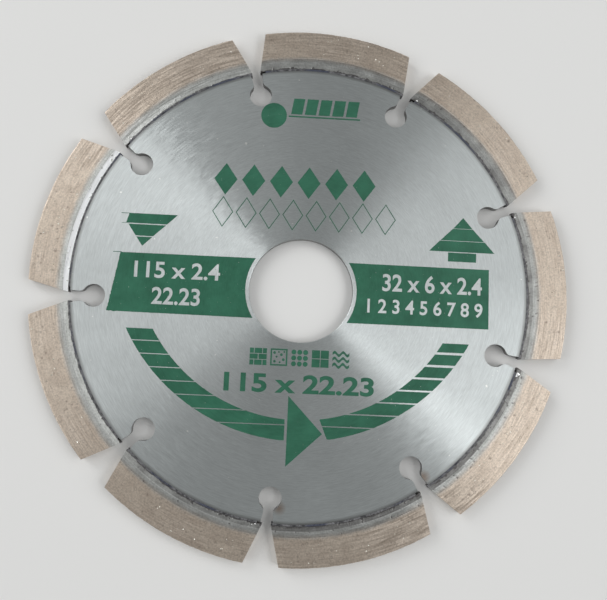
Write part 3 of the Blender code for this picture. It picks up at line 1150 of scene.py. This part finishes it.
def shrunk(outline, x, y, share):
    """An outline made smaller towards the point x, y."""
    return [(x + (px - x) * share, y + (py - y) * share) for px, py in outline]


film("print_lozenges", [ragged(lozenge(-17.3 + 6 * index, ROW_Y, 5, 7)) for index in range(6)])
outer = [ragged(lozenge(x, THIN_ROW_Y, 4.5, 6.8), FINE_EDGE) for x in THIN_COLUMNS]
inner = [shrunk(loop, x, THIN_ROW_Y, THIN_INSIDE) for loop, x in zip(outer, THIN_COLUMNS)]
film("print_thin_lozenges", outer, inner)
print("thin lozenges stand at, mm:", [round(x, 2) for x in THIN_COLUMNS])

# %% Print the disc, the beam and the slanting blocks
disc = circle(-7.6, 38.25, 2.8, 60)
beam = box(-4.4, 11.3, 38.08, 38.4)
blocks = [[(x, 38.75), (x + 2.45, 38.75), (x + 3.0, 42.3), (x + 0.55, 42.3)]
          for x in (-3.9 + 3.0 * index for index in range(5))]
film("print_disc_and_beam", [ragged(disc), ragged(beam, FINE_EDGE)])
film("print_slanting_blocks", [ragged(block) for block in blocks])
print("slanting blocks:", len(blocks))

# %% Draw the signs for brick, paving, tile and roof tile
SIGN_LEFT, SIGN_LOW, SIGN_SIZE, SIGN_STEP = -10.25, -16.2, 3.6, 4.38
THIRD, HALF = 1.24, 1.87
EVEN_BRICKS = ((0, 0.85), (1.0, 2.6), (2.75, 3.6))
ODD_BRICKS = ((0, 1.72), (1.88, 3.6))
BRICK_HEIGHT, PAVING_RADIUS, TILE_SIZE = 1.1, 0.55, 1.73
LEFTS = [SIGN_LEFT + SIGN_STEP * index for index in range(5)]


def roof_tile(x, y):
    """A wavy band, as a row of bent roof tiles looks from its end."""
    wave = [(x + SIGN_SIZE * index / 24, y + 0.35 * math.sin(2 * math.pi * index / 12))
            for index in range(25)]
    return [(x, y + 0.25) for x, y in wave] + [(x, y + 0.85) for x, y in reversed(wave)]


bricks = [box(LEFTS[0] + left, LEFTS[0] + right, y, y + BRICK_HEIGHT)
          for y, row in zip((SIGN_LOW, SIGN_LOW + THIRD, SIGN_LOW + THIRD * 2),
                            (EVEN_BRICKS, ODD_BRICKS, EVEN_BRICKS))
          for left, right in row]
paving = [circle(LEFTS[2] + THIRD * column + PAVING_RADIUS, SIGN_LOW + THIRD * row + PAVING_RADIUS,
                 PAVING_RADIUS, 8, start=math.pi / 8)
          for column in range(3) for row in range(3)]
tiles = [box(LEFTS[3] + HALF * column, LEFTS[3] + HALF * column + TILE_SIZE,
             SIGN_LOW + HALF * row, SIGN_LOW + HALF * row + TILE_SIZE)
         for column in range(2) for row in range(2)]
roof = [roof_tile(LEFTS[4], SIGN_LOW + THIRD * row) for row in range(3)]
print("bricks, paving stones, tiles, rows of roof tile:", len(bricks), len(paving), len(tiles), len(roof))

# %% Draw the sign for concrete and print all signs
PEBBLES = ((0.9, 0.9, 0.28), (2.0, 0.75, 0.2), (2.75, 1.3, 0.3), (1.3, 1.9, 0.22),
           (2.3, 2.35, 0.3), (0.85, 2.75, 0.3), (1.75, 2.9, 0.18), (2.9, 2.95, 0.2))
FRAME_INSIDE = 0.82

pebbles = [circle(LEFTS[1] + x, SIGN_LOW + y, size, 12) for x, y, size in PEBBLES]
concrete = ragged(box(LEFTS[1], LEFTS[1] + SIGN_SIZE, SIGN_LOW, SIGN_LOW + SIGN_SIZE), FINE_EDGE)
inside = shrunk(concrete, LEFTS[1] + SIGN_SIZE / 2, SIGN_LOW + SIGN_SIZE / 2, FRAME_INSIDE)
signs = bricks + pebbles + paving + tiles + roof
film("print_material_signs", [ragged(outline, FINE_EDGE) for outline in signs])
film("print_concrete_sign", [concrete], [inside])
film("print_size", numbers("115 x 22.23", -15.4, 16.3, -21.9, -17.9, bold=0.03))
print("outlines in the signs:", len(signs))

# %% [markdown]
# ## Green ink
# The ink is a matt green paint. Its green is a little uneven, as a squeegee leaves it, and
# paler along the grinding marks of the steel, which show through the thin film. A few
# pinholes leave bright dots.

# %% Make the ink and put it on the prints
DEEP_GREEN, PALE_GREEN = (0.010, 0.082, 0.045, 1), (0.022, 0.130, 0.075, 1)
GREEN_ON_MARKS, BARE_STEEL = (0.035, 0.16, 0.10, 1), (0.45, 0.48, 0.46, 1)


def green_ink():
    ink = Finish("green_ink", metallic=0.0, roughness=0.45, specular=0.4)
    clouds = ink.noise(ink.place, scale=260, detail=4, roughness=0.6)
    lines = ink.noise(ink.lathe_grain(14, 0.25 * MM), detail=3)
    pinholes = ink.spread(ink.noise(ink.place, scale=3600, detail=1), 0.775, 0.81)
    colour = ink.mix(ink.spread(clouds, 0.3, 0.7), DEEP_GREEN, PALE_GREEN)
    colour = ink.mix(ink.spread(lines, 0.35, 0.75, 0, 0.35), colour, GREEN_ON_MARKS)
    colour = ink.mix(pinholes, colour, BARE_STEEL)
    return ink.wear(colour=colour, metallic=ink.math("MULTIPLY", pinholes, 0.8),
                    roughness=ink.spread(lines, 0.3, 0.7, 0.4, 0.52),
                    normal=ink.bump(clouds, 0.2, 0.01 * MM))


ink = green_ink()
PRINTS = [item for item in bpy.context.scene.objects if item.name.startswith("print_")]
for item in PRINTS:
    item.data.materials.clear()
    item.data.materials.append(ink)
    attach(item, "root")
print("films of ink:", len(PRINTS))

# %% [markdown]
# ## The last measure
# The blade with all its looks stays about the size of its solids, apart from a hair of ink
# and grit. Both boxes are gathered here, and the finished one is printed.

# %% Gather the sizes and finish
size = {"cad": [list(corner) for corner in cad_box], "visual": [list(corner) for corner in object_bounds()]}
print("finished box in mm:", [[in_mm(x) for x in corner] for corner in size["visual"]])
